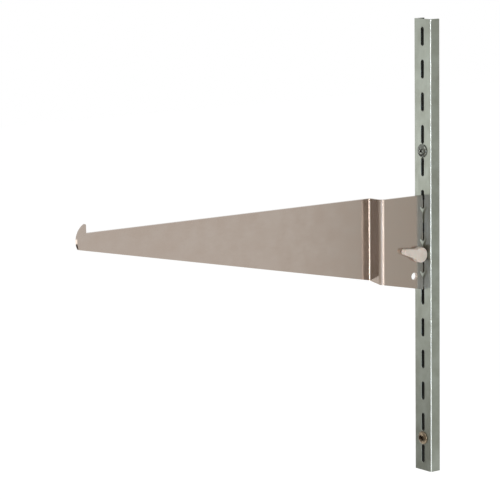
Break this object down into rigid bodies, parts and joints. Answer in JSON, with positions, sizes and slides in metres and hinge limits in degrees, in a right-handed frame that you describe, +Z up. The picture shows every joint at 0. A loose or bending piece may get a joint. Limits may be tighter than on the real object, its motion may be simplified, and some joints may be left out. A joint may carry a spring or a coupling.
{
  "type": "slotted upright with shelf bracket",
  "caption": "Offset knife-type shelf bracket hooked into a slotted U-channel wall upright, locked by a small nylon cam lever.",
  "frame": {"origin": "on the wall plane (the back edges of the upright), midway between the two wall screws", "axes": "+X into the wall (the bracket reaches out towards -X), +Y along the wall to the side that the blade is offset to, +Z up"},
  "size_m": [0.3294, 0.0233, 0.3573],
  "materials": {
    "zinc_plate": "zinc plated, fine drawn grain along its length",
    "satin_nickel": "satin nickel plated sheet, semi-mirror",
    "nylon": "moulded cream nylon, satin",
    "screw_steel": "dull plated steel"
  },
  "bodies": {
    "upright": {"upright": "zinc_plate", "bracket_blade": "satin_nickel", "upper_screw": "screw_steel", "lower_screw": "screw_steel"},
    "lever": {"cam_lever": "nylon"}
  },
  "joints": [
    {"name": "lever_swing", "type": "hinge", "parent": "upright", "child": "lever", "pos_m": [-0.0162, 0, 0.03355], "axis": [0, -1, 0], "range_deg": [0, 90]}
  ]
}
